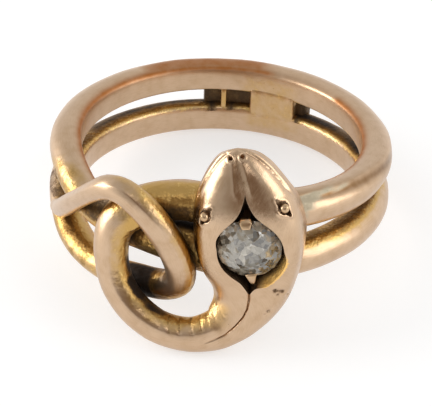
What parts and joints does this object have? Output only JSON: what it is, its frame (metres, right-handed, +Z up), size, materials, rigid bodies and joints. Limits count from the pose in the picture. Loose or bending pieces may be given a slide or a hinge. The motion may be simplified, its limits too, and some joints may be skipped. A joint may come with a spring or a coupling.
{
  "type": "snake ring",
  "caption": "Gold finger ring shaped as a coiled snake with a looped neck, a hooked tail and a round diamond set in its head.",
  "frame": {"origin": "centre of the finger hole", "axes": "+Z up, square to the surface that the ring lies on; the head and the loop are at -Y; the finger axis is tipped from +Z by about 10 degrees, because the loop props the front up"},
  "size_m": [0.0214, 0.024, 0.0134],
  "materials": {
    "rose_gold": "worn rose gold, darker and yellower in the recesses",
    "diamond": "old cut stone, clear with grey inclusions"
  },
  "bodies": {
    "root": {"snake": "rose_gold", "diamond": "diamond"}
  },
  "joints": []
}
